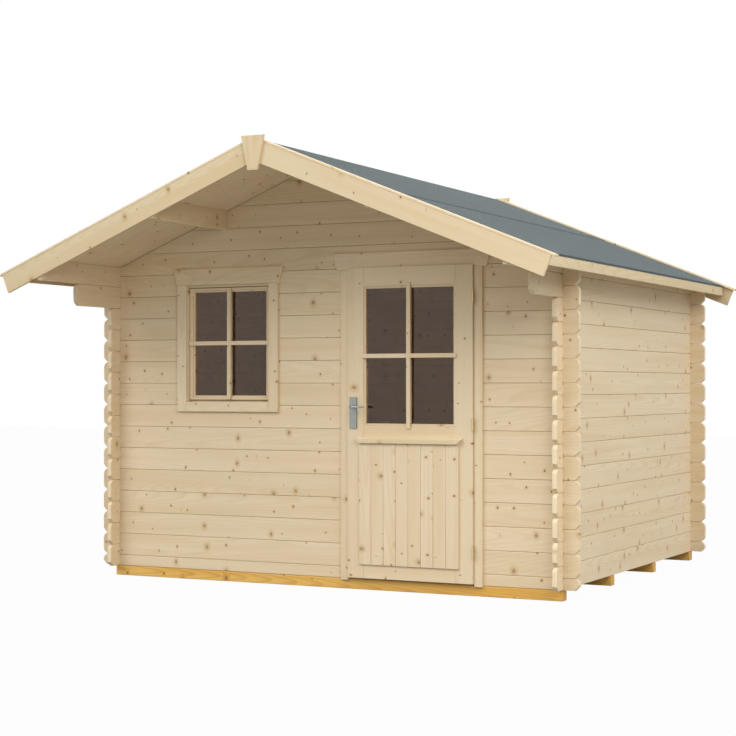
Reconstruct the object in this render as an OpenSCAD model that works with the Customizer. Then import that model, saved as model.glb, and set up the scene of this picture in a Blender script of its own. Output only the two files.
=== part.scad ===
// Log-board garden house with a gable roof, one four-pane window and a
// half-glazed door. X runs along the front, Y from front to rear, Z up.
// The origin is on the ground under the middle of the whole building.

/* [Walls] */
// Length of the front wall between the outer faces of the side walls
wall_w = 2950; // [2400:10:3600]
// Depth of the house between the outer faces of the front and rear walls
wall_d = 2490; // [1900:10:3200]
// Thickness of the wall boards
wall_t = 28; // [19:1:45]
// Height that one wall board covers
course_h = 133; // [110:1:160]
// How far the boards run on past a corner
log_end = 95; // [60:1:150]
// Radius of the upper corner of a board end
end_round = 30; // [10:1:45]
// Chamfer of the lower corner of a board end
end_chamfer = 26; // [10:1:45]
// How far the stepped bracket board runs out in front of the front wall
bracket_len = 446; // [200:2:520]

/* [Foundation and floor] */
// Height of the foundation beams
beam_h = 60; // [40:1:100]
// Width of the foundation beams
beam_w = 60; // [40:1:100]
// Thickness of the floor boards
floor_t = 19; // [16:1:30]
// Gap between the floor and the walls
floor_gap = 6; // [3:1:15]

/* [Roof] */
// Pitch of the roof in degrees
roof_pitch = 22; // [14:1:30]
// Height of the roof's underside above the inner face of a side wall, over the beams
eaves_z = 1854; // [1830:1:2300]
// Thickness of the roof boards
roof_t = 19; // [16:1:28]
// Thickness of the roofing felt
felt_t = 2.5; // [2:0.5:5]
// Overhang of the roof boards in front of the front wall
front_overhang = 795; // [560:5:900]
// Overhang of the roof boards behind the rear wall
rear_overhang = 167; // [140:1:400]
// Overhang of the roof boards past the side walls
side_overhang = 157; // [120:1:300]
// Width of a purlin
purlin_w = 45; // [35:1:70]
// Depth of a purlin on its inner face
purlin_h = 115; // [90:1:120]
// Distance of a purlin's inner face from the ridge line
purlin_x = 664; // [500:1:900]

/* [Roof trim] */
// Thickness of the eaves boards and the barge boards
board_t = 18; // [14:1:25]
// Height of an eaves board on its outer face
fascia_h = 65; // [50:1:110]
// Height of a barge board, square to the slope
barge_h = 117; // [90:1:150]
// How far a barge board runs on past the eaves board, along the slope
barge_run = 70; // [40:1:120]
// Thickness of the cover strips on the barge boards
strip_t = 10; // [6:1:20]
// Width of the cover strips
strip_w = 52; // [35:1:80]
// How far a cover strip runs on past the end of its barge board
strip_run = 26; // [5:1:50]
// Width of the ridge piece at its top
key_top_w = 143; // [100:1:200]
// Width of the ridge piece at its bottom
key_bottom_w = 61; // [30:1:90]
// Height of the ridge piece
key_h = 190; // [150:1:260]
// How far the ridge piece stands above the ridge of the roof
key_rise = 13; // [5:1:40]

/* [Window] */
// Distance of the window's middle from the middle of the front wall
window_x = -661; // [-800:1:-560]
// Width inside the window's side trims
window_w = 578; // [450:1:640]
// Height of the lower edge of the sash above the beams
window_z = 1028; // [900:1:1100]
// Height of the sash
window_h = 684; // [520:1:700]
// Width of the side trims
window_trim_w = 64; // [45:1:80]
// Height of the trim under the window
window_sill_h = 58; // [40:1:80]
// Depth of the sash behind the outer face of the wall
sash_set = 18; // [8:1:20]
// Thickness of the sash
sash_t = 34; // [28:1:50]
// Width of the sash's side stiles
sash_stile_w = 36; // [28:1:60]
// Height of the sash's rails
sash_rail_h = 29; // [24:1:60]
// Thickness of the window pane
pane_t = 4; // [3:1:6]

/* [Trim] */
// Thickness of the trims on the wall
trim_t = 18; // [12:1:25]
// Height of the head trims
head_h = 98; // [70:1:130]
// How much the head trims widen at each side towards their top
head_flare = 26; // [0:1:50]

/* [Door] */
// Distance of the door's middle from the middle of the front wall
door_x = 560; // [480:1:640]
// Width of the door leaf
leaf_w = 787; // [700:1:950]
// Height of the door leaf
leaf_h = 1786; // [1700:1:1790]
// Thickness of the door leaf
leaf_t = 38; // [34:1:50]
// How far the face of the leaf stands out from the face of the wall
leaf_proud = 34; // [25:1:34]
// Height of the leaf's lower edge above the beams
leaf_z = 9.5; // [8:0.5:15]
// Running gap around the leaf
leaf_gap = 6.5; // [6:0.5:9]
// Width of the leaf's stiles
stile_w = 106; // [90:1:130]
// Height of the leaf's top rail
top_rail_h = 109; // [80:1:130]
// Height of the leaf's lower edge of glass above the leaf's lower edge
glass_z = 890; // [800:1:1000]
// Height of the leaf's lock rail
lock_rail_h = 131; // [100:1:150]
// Height of the leaf's bottom rail
bottom_rail_h = 110; // [80:1:150]
// Width of the bead that holds the pane in the leaf
bead_w = 12; // [8:1:20]
// Distance that the lower panel's boards stand out from the leaf
panel_proud = 12; // [8:1:18]
// Width that the panel boards cover on each stile
panel_lap = 25; // [10:1:40]
// Height of the panel boards' lower edge above the leaf's lower edge
panel_z = 80; // [60:1:100]
// Height of the weather bar over the panel
drip_h = 36; // [25:1:50]
// Distance that the weather bar stands out from the leaf
drip_proud = 28; // [20:1:40]
// Slope of the weather bar's ends, from bottom to top
drip_flare = 27; // [0:1:40]
// Width of the trims beside the door
door_trim_w = 45; // [35:1:70]
// Width of the door frame's jambs in the wall
jamb_w = 40; // [32:1:40]
// Height of the threshold
threshold_h = 26; // [20:1:45]

/* [Handle and hinges] */
// Distance of the lever's axis from the edge of the leaf
handle_x = 41; // [36:1:60]
// Height of the lever's axis above the leaf's lower edge
handle_z = 984; // [900:1:1050]
// Width of the handle plate
plate_w = 45; // [36:1:60]
// Height of the handle plate
plate_h = 181; // [160:1:260]
// Thickness of the handle plate
plate_t = 8; // [4:1:12]
// Distance from the lever's axis up to the top of the plate
plate_above = 57; // [50:1:100]
// Distance from the lever's axis down to the keyhole
key_below = 72; // [50:1:92]
// Reach of the lever from its axis
lever_len = 88; // [80:1:120]
// Distance from the plate to the lever's middle
lever_off = 42; // [35:1:60]
// Diameter of the lever's neck
neck_d = 17; // [12:1:22]
// Diameter of a hinge knuckle
knuckle_d = 11; // [9:0.5:14]
// Height of a hinge
hinge_h = 76; // [50:1:110]
// Diameter of a hinge pin
pin_d = 6; // [4:0.5:7]

/* [Hidden] */

eps = 1;                 // how far a cutter runs past what it cuts
run_fit = 0.1;           // radial running clearance of a shaft in its bore
lay = 0.1;               // clearance, straight up, between pieces laid on each other along the slope
notch_fit = 0.05;        // clearance above and below a board in the notch it crosses another wall through
beams = 4;               // foundation beams, evenly spaced
half_w = wall_w / 2;
inner_x = half_w - wall_t;
tan_p = tan(roof_pitch);
cos_p = cos(roof_pitch);
apex_z = eaves_z + inner_x * tan_p;          // underside of the roof at the ridge
roof_v = roof_t / cos_p;                     // thicknesses measured straight up
felt_v = felt_t / cos_p;
felt_top = roof_v + lay + felt_v;            // top of the felt over the boards' underside
roof_top_z = apex_z + felt_top;
roof_y0 = -front_overhang;
roof_y1 = wall_d + rear_overhang;
eave_x = half_w + side_overhang;             // outer end of the roof boards
fascia_x = eave_x + board_t;
side_courses = floor(eaves_z / course_h - 0.35) + 1;      // boards in a side wall, the top one cut to the slope
gable_course = floor(min(under(half_w + log_end), under(half_w) - course_h / 4) / course_h - 0.5);
gable_z = (gable_course + 0.5) * course_h;   // joint where the gable begins, the highest one under the roof
step_z = (side_courses - 2) * course_h;      // lower edge of the bracket board
top_z = (side_courses - 1) * course_h;       // lower edge of the top side board

// the whole building, moved so that the origin is under its middle
y_shift = -(roof_y0 - 2 * board_t + roof_y1 + 2 * board_t) / 2;

// door and window openings in the wall
leaf_x0 = door_x - leaf_w / 2;
leaf_x1 = door_x + leaf_w / 2;
door_in = leaf_w / 2 + leaf_gap;             // from the door's middle to its side trims
rebate = 22;                                 // how deep a jamb sits behind its trim
door_half = door_in + rebate;                // half of the opening in the wall
door_stop = door_half - jamb_w;              // half of the clear doorway
leaf_top = leaf_z + leaf_h;
door_open_z = leaf_top + leaf_gap + rebate;  // top of the opening in the wall
leaf_y0 = -leaf_proud;
leaf_y1 = leaf_y0 + leaf_t;
stop_y = leaf_y1 + leaf_gap;                 // face that the leaf closes against
win_half = window_w / 2;
win_step = 2;                                // frame shows this much inside the trims
win_in = win_half - win_step;
win_rebate = 28;
win_open_half = win_in + win_rebate;
win_top = window_z + window_h;
win_head_z = win_top + 15;                   // lower edge of the window's head trim
win_sill_z = window_z - 10;                  // upper edge of the trim under the window

module place() translate([0, y_shift, beam_h]) children();

// closed outline of one board end, going up: x is outwards
function end_up(x, z0, z1, steps = 5) = let (c = min(end_chamfer, 0.45 * (z1 - z0)), r = min(end_round, 0.5 * (z1 - z0))) concat(
    [[x - c, z0], [x, z0 + c]],
    [for (i = [0:steps]) let (a = 90 * i / steps) [x - r + r * cos(a), z1 - r + r * sin(a)]]);
function mirror_pts(p) = [for (i = [len(p) - 1:-1:0]) [-p[i][0], p[i][1]]];
// a stack of board ends from joint to joint
function ends(x, joints) = [for (i = [0:len(joints) - 2]) each end_up(x, joints[i], joints[i + 1])];
// height of the roof's underside at a distance from the ridge
function under(x) = apex_z - abs(x) * tan_p;

// a plate in the plane of the front, with its face at y
module front_plate(y, t) translate([0, y + t, 0]) rotate([90, 0, 0]) linear_extrude(t) children();
// a plate in the plane of a side, from x towards +X
module side_plate(x, t) translate([x, 0, 0]) rotate([90, 0, 90]) linear_extrude(t) children();
module box(x0, x1, y0, y1, z0, z1) translate([x0, y0, z0]) cube([x1 - x0, y1 - y0, z1 - z0]);

// everything under the roof boards, for cutting walls and purlins to the slope
module under_roof() front_plate(roof_y0 - eps, roof_y1 - roof_y0 + 2 * eps)
    polygon([[-fascia_x, -eps], [fascia_x, -eps], [fascia_x, under(fascia_x) - lay], [0, apex_z - lay], [-fascia_x, under(fascia_x) - lay]]);

// notches where the boards of two walls cross: a side board keeps the middle
// half of its height and a front board the rest
module cross_notches(side, y, of_side) {
    x0 = side > 0 ? inner_x : -half_w;
    for (k = [0:side_courses])
        if (of_side)
            box(x0 - eps, x0 + wall_t + eps, y, y + wall_t, (k - 0.25) * course_h - notch_fit, (k + 0.25) * course_h + notch_fit);
        else
            box(x0, x0 + wall_t, y - eps, y + wall_t + eps, (k + 0.25) * course_h - notch_fit, (k + 0.75) * course_h + notch_fit);
}

front_joints = [for (k = [0:gable_course + 1]) max(0, (k - 0.5) * course_h)];
side_joints = [for (k = [0:side_courses - 2]) k * course_h];

// lower part of an end wall, up to the gable's first joint
module end_wall(y) difference() {
    front_plate(y, wall_t) let (up = ends(half_w + log_end, front_joints)) polygon(concat(up, mirror_pts(up)));
    for (s = [-1, 1]) cross_notches(s, y, false);
}

module gable(y) intersection() {
    difference() {
        front_plate(y, wall_t)
            polygon([[-half_w - log_end + end_chamfer, gable_z], [half_w + log_end - end_chamfer, gable_z],
                [half_w + log_end, gable_z + end_chamfer], [half_w + log_end, apex_z + eps],
                [-half_w - log_end, apex_z + eps], [-half_w - log_end, gable_z + end_chamfer]]);
        for (s = [-1, 1]) cross_notches(s, y, false);
        for (s = [-1, 1]) purlin_shape(s);
    }
    under_roof();
}

module side_wall(s) {
    x0 = s > 0 ? inner_x : -half_w;
    up = ends(log_end, side_joints);
    intersection() {
        difference() {
            side_plate(x0, wall_t) union() {
                translate([wall_d, 0]) polygon(concat([[-wall_d / 2, 0]], up, [[log_end - end_chamfer, step_z], [-wall_d / 2, step_z]]));
                mirror([1, 0]) polygon(concat([[-wall_d / 2, 0]], up, [[log_end - end_chamfer, step_z], [-wall_d / 2, step_z]]));
                translate([wall_d, 0]) polygon(concat([[-wall_d / 2, step_z]], end_up(log_end, step_z, top_z), [[-wall_d / 2, top_z]]));
                mirror([1, 0]) polygon(concat([[-wall_d / 2, step_z]], end_up(bracket_len, step_z, top_z), [[-wall_d / 2, top_z]]));
                translate([roof_y0, top_z]) square([roof_y1 - roof_y0, 2 * course_h]);
            }
            cross_notches(s, 0, true);
            cross_notches(s, wall_d - wall_t, true);
        }
        under_roof();
    }
}

module purlin_shape(s) intersection() {
    box(s > 0 ? purlin_x : -purlin_x - purlin_w, s > 0 ? purlin_x + purlin_w : -purlin_x, roof_y0, roof_y1,
        under(purlin_x) - purlin_h, apex_z);
    under_roof();
}

// a layer of the roof on one slope, between two heights above the boards' underside
module roof_layer(s, v0, v1, x1) front_plate(roof_y0, roof_y1 - roof_y0)
    polygon([[0, apex_z + v0], [s * x1, under(x1) + v0], [s * x1, under(x1) + v1], [0, apex_z + v1]]);

// a board that lies on edge along the slope: its top edge is v above the
// boards' underside, it is h deep and its outer end is cut square
module sloping_board(s, y, t, v, h, x1, gap = 0) front_plate(y, t)
    polygon([[s * gap, apex_z + v - gap * tan_p], [s * x1, under(x1) + v],
        [s * (x1 - h * sin(roof_pitch)), under(x1) + v - h * cos_p], [s * gap, apex_z + v - h / cos_p - gap * tan_p]]);

barge_x = fascia_x + barge_run * cos_p;
module barge_board(s, y) sloping_board(s, y, board_t, felt_top, barge_h, barge_x);
strip_gap = 2;
module cover_strips(y) for (s = [-1, 1])
    sloping_board(s, y, strip_w, felt_top + lay + strip_t / cos_p, strip_t, barge_x + strip_run * cos_p, strip_gap);
module ridge_piece(y) front_plate(y, board_t) {
    top = roof_top_z + key_rise;
    polygon([[-key_top_w / 2, top], [-key_bottom_w / 2, top - key_h], [key_bottom_w / 2, top - key_h], [key_top_w / 2, top]]);
}

// trims on the front wall
module head_trim(x, half, z) front_plate(-trim_t, trim_t) translate([x, z])
    polygon([[-half, 0], [half, 0], [half + head_flare, head_h], [-half - head_flare, head_h]]);
module ring(x, half, z0, z1, w, h0, h1, y, t) front_plate(y, t) difference() {
    translate([x - half, z0]) square([2 * half, z1 - z0]);
    translate([x - half + w, z0 + h0]) square([2 * (half - w), z1 - z0 - h0 - h1]);
}

beam_pitch = (wall_d - beam_w) / (beams - 1);
module beam(i) color("goldenrod") translate([0, y_shift, 0])
    box(-half_w, half_w, i * beam_pitch, i * beam_pitch + beam_w, 0, beam_h);
module foundation_beam_front() beam(0);
module foundation_beams_middle() for (i = [1:beams - 2]) beam(i);
module foundation_beam_rear() beam(beams - 1);
module floor_deck() color("burlywood") place()
    box(-inner_x + floor_gap, inner_x - floor_gap, wall_t + floor_gap, wall_d - wall_t - floor_gap, 0, floor_t);

module door_cut() box(door_x - door_half, door_x + door_half, -eps, wall_t + eps, -eps, door_open_z);
module window_cut() box(window_x - win_open_half, window_x + win_open_half, -eps, wall_t + eps,
    window_z - win_rebate, win_top + win_rebate);
module front_wall_left() color("wheat") place() intersection() {
    difference() { end_wall(0); window_cut(); door_cut(); }
    box(-wall_w, door_x, -eps, wall_t + eps, -eps, gable_z);
}
module front_wall_right() color("wheat") place() intersection() {
    difference() { end_wall(0); door_cut(); }
    box(door_x, wall_w, -eps, wall_t + eps, -eps, gable_z);
}
module front_gable() color("wheat") place() difference() { gable(0); window_cut(); door_cut(); }
module rear_wall() color("wheat") place() end_wall(wall_d - wall_t);
module rear_gable() color("wheat") place() gable(wall_d - wall_t);
module left_wall() color("wheat") place() side_wall(-1);
module right_wall() color("wheat") place() side_wall(1);

module purlin_left() color("tan") place() purlin_shape(-1);
module purlin_right() color("tan") place() purlin_shape(1);
module roof_boards_left() color("tan") place() roof_layer(-1, 0, roof_v, eave_x);
module roof_boards_right() color("tan") place() roof_layer(1, 0, roof_v, eave_x);
module roof_felt_left() color("slategray") place() roof_layer(-1, roof_v + lay, felt_top, fascia_x);
module roof_felt_right() color("slategray") place() roof_layer(1, roof_v + lay, felt_top, fascia_x);
module fascia(s) front_plate(roof_y0, roof_y1 - roof_y0)
    polygon([[s * eave_x, under(eave_x) + roof_v], [s * fascia_x, under(fascia_x) + roof_v],
        [s * fascia_x, under(fascia_x) + roof_v - fascia_h], [s * eave_x, under(fascia_x) + roof_v - fascia_h]]);
module fascia_left() color("wheat") place() fascia(-1);
module fascia_right() color("wheat") place() fascia(1);
module barge_board_front_left() color("wheat") place() barge_board(-1, roof_y0 - board_t);
module barge_board_front_right() color("wheat") place() barge_board(1, roof_y0 - board_t);
module barge_board_rear_left() color("wheat") place() barge_board(-1, roof_y1);
module barge_board_rear_right() color("wheat") place() barge_board(1, roof_y1);
module cover_strips_front() color("wheat") place() cover_strips(roof_y0 - board_t);
module cover_strips_rear() color("wheat") place() cover_strips(roof_y1 + board_t - strip_w);
module ridge_piece_front() color("wheat") place() ridge_piece(roof_y0 - 2 * board_t);
module ridge_piece_rear() color("wheat") place() ridge_piece(roof_y1 + board_t);

frame_t = sash_set + sash_t;
module window_frame() color("wheat") place()
    ring(window_x, win_open_half, window_z - win_rebate, win_top + win_rebate, win_rebate, win_rebate, win_rebate, 0, frame_t);
module window_sash() color("wheat") place() difference() {
    ring(window_x, win_in, window_z, win_top, sash_stile_w, sash_rail_h, sash_rail_h, sash_set, sash_t);
    pane(window_x, win_in - sash_stile_w, window_z + sash_rail_h, win_top - sash_rail_h, sash_set + sash_t / 2);
}
pane_in = 8;             // how deep a pane sits in its grooves
module pane(x, half, z0, z1, y) box(x - half - pane_in, x + half + pane_in, y, y + pane_t, z0 - pane_in, z1 + pane_in);
module window_glass() color("lightblue", 0.4) place()
    pane(window_x, win_in - sash_stile_w, window_z + sash_rail_h, win_top - sash_rail_h, sash_set + sash_t / 2);
head_over = 5;           // how far a head trim reaches past the side trims at its foot
module window_head_trim() color("wheat") place() head_trim(window_x, win_half + window_trim_w + head_over, win_head_z);
module window_side_trims() color("wheat") place() for (s = [-1, 1])
    box(window_x + s * (win_half + window_trim_w / 2) - window_trim_w / 2, window_x + s * (win_half + window_trim_w / 2) + window_trim_w / 2,
        -trim_t, 0, win_sill_z - window_sill_h, win_head_z);
module window_sill_trim() color("wheat") place()
    box(window_x - win_half, window_x + win_half, -trim_t, 0, win_sill_z - window_sill_h, win_sill_z);

// door frame: jambs and head with a stop that the leaf closes against
module door_frame() color("wheat") place() {
    for (s = [-1, 1]) translate([door_x, 0, 0]) linear_extrude(door_open_z)
        polygon([[s * door_in, 0], [s * door_half, 0], [s * door_half, wall_t], [s * door_stop, wall_t], [s * door_stop, stop_y], [s * door_in, stop_y]]);
    side_plate(door_x - door_in, 2 * door_in)
        polygon([[0, door_open_z - rebate], [0, door_open_z], [wall_t, door_open_z], [wall_t, door_open_z - jamb_w],
            [stop_y, door_open_z - jamb_w], [stop_y, door_open_z - rebate]]);
}
module door_threshold() color("tan") place()
    box(door_x - door_stop, door_x + door_stop, stop_y, wall_t, 0, threshold_h);
door_head_over = 24;
module door_head_trim() color("wheat") place() difference() {
    head_trim(door_x, door_in + door_trim_w + door_head_over, leaf_top - leaf_gap - 4);
    box(door_x - door_in, door_x + door_in, -trim_t - eps, eps, leaf_z, leaf_top + leaf_gap);
}
trim_foot = -6;          // the side trims reach a little over the beam
module door_side_trims() color("wheat") place() for (s = [-1, 1])
    box(door_x + s * (door_in + door_trim_w / 2) - door_trim_w / 2, door_x + s * (door_in + door_trim_w / 2) + door_trim_w / 2,
        -trim_t, 0, trim_foot, leaf_top - leaf_gap - 4);

// hinges: the axis stands just in front of the gap on the right
axis_x = leaf_x1 + leaf_gap / 2;
axis_out = 5;            // how far the axis stands in front of the leaf's face
axis_y = leaf_y0 - axis_out;
hinge_plate_t = 1.6;
hinge_split = 0.5;       // gap between the two halves of a knuckle
hinge_zs = [leaf_z + 180, leaf_z + leaf_h / 2, leaf_top - 180];
module hinge_frame_half(z) {
    translate([axis_x, axis_y, z - hinge_h / 2]) cylinder(d = knuckle_d, h = hinge_h / 2 - hinge_split, $fn = 48);
    box(door_x + door_in - hinge_plate_t, door_x + door_in, axis_y, leaf_y1, z - hinge_h / 2, z - hinge_split);
    translate([axis_x, axis_y, z - hinge_h / 2]) cylinder(d = pin_d, h = hinge_h - 2, $fn = 48);
}
module hinge_leaf_half(z) difference() {
    union() {
        translate([axis_x, axis_y, z]) cylinder(d = knuckle_d, h = hinge_h / 2, $fn = 48);
        box(leaf_x1, leaf_x1 + hinge_plate_t, axis_y, leaf_y1, z, z + hinge_h / 2);
    }
    translate([axis_x, axis_y, z - eps]) cylinder(d = pin_d + 2 * run_fit, h = hinge_h / 2 - 1 + eps, $fn = 48);
}
module door_hinges_frame() color("silver") place() for (z = hinge_zs) hinge_frame_half(z);
module door_hinges_leaf() color("silver") place() for (z = hinge_zs) hinge_leaf_half(z);

// the leaf
lever_x = leaf_x0 + handle_x;
lever_z = leaf_z + handle_z;
glass_half = leaf_w / 2 - stile_w - bead_w;
glass_z0 = leaf_z + glass_z;
glass_z1 = leaf_top - top_rail_h - bead_w;
panel_half = leaf_w / 2 - stile_w + panel_lap;
drip_z = glass_z0 - lock_rail_h + drip_h / 2;
leaf_pane_y = leaf_y0 + leaf_t / 2 - pane_t / 2;
module door_leaf_frame() color("wheat") place() difference() {
    translate([0, leaf_y0, 0]) box(leaf_x0, leaf_x1, 0, leaf_t, leaf_z, leaf_top);
    box(door_x - glass_half, door_x + glass_half, leaf_y0 - eps, leaf_y1 + eps, glass_z0, glass_z1);
    pane(door_x, glass_half, glass_z0, glass_z1, leaf_pane_y);
    translate([lever_x, leaf_y0 - eps, lever_z]) rotate([-90, 0, 0]) cylinder(d = neck_d + 2, h = leaf_t + 2 * eps, $fn = 48);
    box(door_x - panel_half + panel_lap, door_x + panel_half - panel_lap, leaf_y0 - eps, leaf_y0 + leaf_t / 2,
        leaf_z + bottom_rail_h, glass_z0 - lock_rail_h);
}
module door_panel() color("wheat") place() union() {
    box(door_x - panel_half, door_x + panel_half, leaf_y0 - panel_proud, leaf_y0, leaf_z + panel_z, drip_z);
    box(door_x - panel_half + panel_lap, door_x + panel_half - panel_lap, leaf_y0, leaf_y0 + 6, leaf_z + bottom_rail_h, glass_z0 - lock_rail_h);
}
module door_drip_rail() color("wheat") place() front_plate(leaf_y0 - drip_proud, drip_proud)
    polygon([[door_x - panel_half + 5, drip_z], [door_x + panel_half - 5, drip_z],
        [door_x + panel_half - 5 + drip_flare, drip_z + drip_h], [door_x - panel_half + 5 - drip_flare, drip_z + drip_h]]);
module door_glass() color("lightblue", 0.4) place() pane(door_x, glass_half, glass_z0, glass_z1, leaf_pane_y);

// handle: a long plate on each face, and one lever through both
module plate(y) difference() {
    box(lever_x - plate_w / 2, lever_x + plate_w / 2, y, y + plate_t, lever_z + plate_above - plate_h, lever_z + plate_above);
    translate([lever_x, y - eps, lever_z]) rotate([-90, 0, 0]) cylinder(d = neck_d + 2 * run_fit, h = plate_t + 2 * eps, $fn = 48);
    translate([lever_x, y - eps, lever_z - key_below]) rotate([-90, 0, 0]) cylinder(d = 8, h = plate_t + 2 * eps, $fn = 32);
    box(lever_x - 1.8, lever_x + 1.8, y - eps, y + plate_t + eps, lever_z - key_below - 12, lever_z - key_below);
}
module door_handle_plates() color("slategray") place() {
    plate(leaf_y0 - plate_t);
    plate(leaf_y1);
}
grip_d = 14;             // thickness of the lever's grip
module lever_half(y, s) {
    translate([lever_x, y, lever_z]) rotate([s * 90, 0, 0]) cylinder(d = neck_d, h = lever_off + plate_t + neck_d / 2, $fn = 48);
    translate([lever_x, y - s * (lever_off + plate_t), lever_z]) rotate([0, 90, 0]) cylinder(d1 = grip_d + 2, d2 = grip_d - 3, h = lever_len, $fn = 32);
}
module door_lever() color("slategray") place() {
    lever_half(leaf_y0, 1);
    lever_half(leaf_y1, -1);
    translate([lever_x, leaf_y0 - eps, lever_z]) rotate([-90, 0, 0]) cylinder(d = neck_d, h = leaf_t + 2 * eps, $fn = 48);
}

foundation_beam_front();
foundation_beams_middle();
foundation_beam_rear();
floor_deck();
front_wall_left();
front_wall_right();
front_gable();
rear_wall();
rear_gable();
left_wall();
right_wall();
purlin_left();
purlin_right();
roof_boards_left();
roof_boards_right();
roof_felt_left();
roof_felt_right();
fascia_left();
fascia_right();
barge_board_front_left();
barge_board_front_right();
barge_board_rear_left();
barge_board_rear_right();
cover_strips_front();
cover_strips_rear();
ridge_piece_front();
ridge_piece_rear();
window_frame();
window_sash();
window_glass();
window_head_trim();
window_side_trims();
window_sill_trim();
door_frame();
door_threshold();
door_head_trim();
door_side_trims();
door_hinges_frame();
door_leaf_frame();
door_panel();
door_drip_rail();
door_glass();
door_hinges_leaf();
door_handle_plates();
door_lever();
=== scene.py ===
# %% [markdown]
# # A log-board garden house
#
# This lesson dresses a garden house that is built from tongue-and-groove log
# boards. The CAD model already fixes every size, so each cell below reads its
# places from the CAD nodes and only adds what a joiner would see up close:
# single boards, eased edges, grain, knots, felt granules and glazing bars.

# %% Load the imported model
import math
import random
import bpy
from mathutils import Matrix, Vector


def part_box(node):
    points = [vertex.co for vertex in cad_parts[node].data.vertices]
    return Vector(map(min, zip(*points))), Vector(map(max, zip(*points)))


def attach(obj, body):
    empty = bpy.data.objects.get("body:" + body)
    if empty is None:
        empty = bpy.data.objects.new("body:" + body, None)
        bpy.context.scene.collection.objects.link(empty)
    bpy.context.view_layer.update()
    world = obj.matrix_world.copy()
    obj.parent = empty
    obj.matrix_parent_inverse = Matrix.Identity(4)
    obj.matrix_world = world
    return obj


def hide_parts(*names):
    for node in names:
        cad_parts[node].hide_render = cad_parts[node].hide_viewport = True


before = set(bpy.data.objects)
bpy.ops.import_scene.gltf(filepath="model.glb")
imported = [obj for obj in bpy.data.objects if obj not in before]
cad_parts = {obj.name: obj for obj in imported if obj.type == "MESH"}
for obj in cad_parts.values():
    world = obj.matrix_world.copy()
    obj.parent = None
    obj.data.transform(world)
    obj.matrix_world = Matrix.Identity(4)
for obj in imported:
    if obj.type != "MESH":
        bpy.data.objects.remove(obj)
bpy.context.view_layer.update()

from types import SimpleNamespace

import bmesh
import bpy
from mathutils import Vector

# %% [markdown]
# ## House measures
#
# A joiner measures from the outer face of the front wall and from the top of
# the foundation beams. All lengths below are in millimetres in that house
# grid: x from the middle, y towards the rear, z up. One function takes a point
# of the house grid to the metres of the model.

# %% House grid
METRE = 1000.0
FRONT_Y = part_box("front_gable")[0].y
BEAM_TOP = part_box("foundation_beam_front")[1].z


def in_model(x, y, z):
    """A point of the house grid, in the metres of the model."""
    return Vector((x / METRE, y / METRE + FRONT_Y, z / METRE + BEAM_TOP))


def span(node):
    """The box of a CAD node in the house grid, and its depth from front to rear."""
    low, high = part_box(node)
    y0, y1 = (low.y - FRONT_Y) * METRE, (high.y - FRONT_Y) * METRE
    return SimpleNamespace(x0=low.x * METRE, x1=high.x * METRE, y0=y0, y1=y1, depth=y1 - y0,
                           z0=(low.z - BEAM_TOP) * METRE, z1=(high.z - BEAM_TOP) * METRE)


# %% Wall and roof sizes
WALL_T = span("front_gable").y1
HALF_W = span("right_wall").x1
WALL_D = span("rear_gable").y1
LOG_X = span("rear_wall").x1
LOG_END = LOG_X - HALF_W
COURSES_TO_GABLE = 13.5
COURSE = span("front_gable").z0 / COURSES_TO_GABLE
END_ROUND, END_CHAMFER = 30, 26
PITCH = math.radians(22)
SLOPE = math.tan(PITCH)
ROOF_T, LAY = 19, 0.1  # a roof board, and the hair between pieces laid on each other
roof = span("roof_boards_right")
EAVE_X = roof.x1
APEX = roof.z1 - ROOF_T / math.cos(PITCH)
FELT_X = span("roof_felt_right").x1
FELT_TOP = span("roof_felt_right").z1 - APEX
HANDS = ((-1, "left"), (1, "right"))
print("course", round(COURSE, 1), "apex", round(APEX, 1), "eaves", round(EAVE_X, 1))


def under(x):
    """Height of the roof boards' underside at a distance from the ridge."""
    return APEX - abs(x) * SLOPE


# %% [markdown]
# ## Camera
#
# The camera comes early, because everything else is judged through it. It
# stands in front of the right half of the house, a little above the door
# handle, and looks left at the front with the right side wall in view.

# %% Camera
def add_object(name, data):
    """A new object in the scene."""
    thing = bpy.data.objects.new(name, data)
    bpy.context.scene.collection.objects.link(thing)
    return thing


camera = add_object("camera", bpy.data.cameras.new("camera"))
camera.data.lens = 83.17
camera.data.sensor_width = 36.0
camera.location = (4.7186, -9.6837, 1.1774)
camera.rotation_euler = (math.pi / 2 + 0.0103, 0.0, 0.469)
bpy.context.scene.camera = camera
print("camera at", [round(v, 2) for v in camera.location])

# %% [markdown]
# ## Node trees as sums
#
# A finish is mostly arithmetic on patterns. The class below wraps one output
# of a node, so that `1 - knot * 0.5` adds the Math nodes by itself. Every
# other node comes from the single function `make`, which sets a node's
# settings first and then its sockets.

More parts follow.
